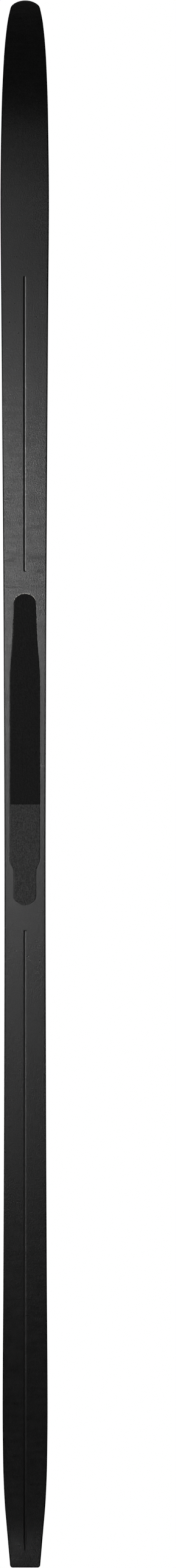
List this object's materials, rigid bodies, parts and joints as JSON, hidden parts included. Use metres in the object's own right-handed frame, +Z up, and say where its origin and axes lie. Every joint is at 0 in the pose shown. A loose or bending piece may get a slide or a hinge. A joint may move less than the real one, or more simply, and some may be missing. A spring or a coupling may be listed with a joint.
{
  "type": "cross country ski",
  "caption": "Slim cambered touring ski with a raised tip, centre groove, inset grip skin and flat binding plates on top.",
  "frame": {"origin": "on the snow plane that the base's two contact lines touch, below the middle of the ski's straight length and on its centreline", "axes": "+X along the ski towards the tip, +Y across it to the skier's left, +Z up from the snow, out of the top of the binding plates"},
  "size_m": [1.95, 0.06, 0.11],
  "materials": {
    "base_sheet": "stone ground black polyethylene, fine structure along the ski",
    "front_pile": "short black mohair pile laid backwards",
    "rear_pile": "short dark grey synthetic pile laid backwards",
    "adhesive": "thin film of pressure-sensitive adhesive",
    "laminate": "glass fibre in epoxy",
    "light_wood": "planed paulownia, grain along the ski",
    "dark_wood": "planed poplar, grain along the ski",
    "reinforcement": "dense glass fibre sheet",
    "edge_plastic": "milled black ABS",
    "top_sheet": "satin graphite polyamide sheet with plain light stripes",
    "plate_plastic": "moulded glass-filled nylon, fine texture",
    "screw_steel": "zinc-plated steel"
  },
  "bodies": {
    "root": {"running_base": "base_sheet", "front_skin": "front_pile", "rear_skin": "rear_pile", "front_skin_adhesive": "adhesive", "rear_skin_adhesive": "adhesive", "lower_laminate": "laminate", "upper_laminate": "laminate", "core_left_stringer": "light_wood", "core_middle_stringer": "dark_wood", "core_right_stringer": "light_wood", "binding_reinforcement": "reinforcement", "left_sidewall": "edge_plastic", "right_sidewall": "edge_plastic", "nose_piece": "edge_plastic", "tail_piece": "edge_plastic", "top_sheet": "top_sheet", "front_binding_plate": "plate_plastic", "rear_binding_plate": "plate_plastic", "front_plate_screw_1": "screw_steel", "front_plate_screw_2": "screw_steel", "front_plate_screw_3": "screw_steel", "front_plate_screw_4": "screw_steel", "rear_plate_screw_1": "screw_steel", "rear_plate_screw_2": "screw_steel", "rear_plate_screw_3": "screw_steel", "rear_plate_screw_4": "screw_steel"}
  },
  "joints": []
}
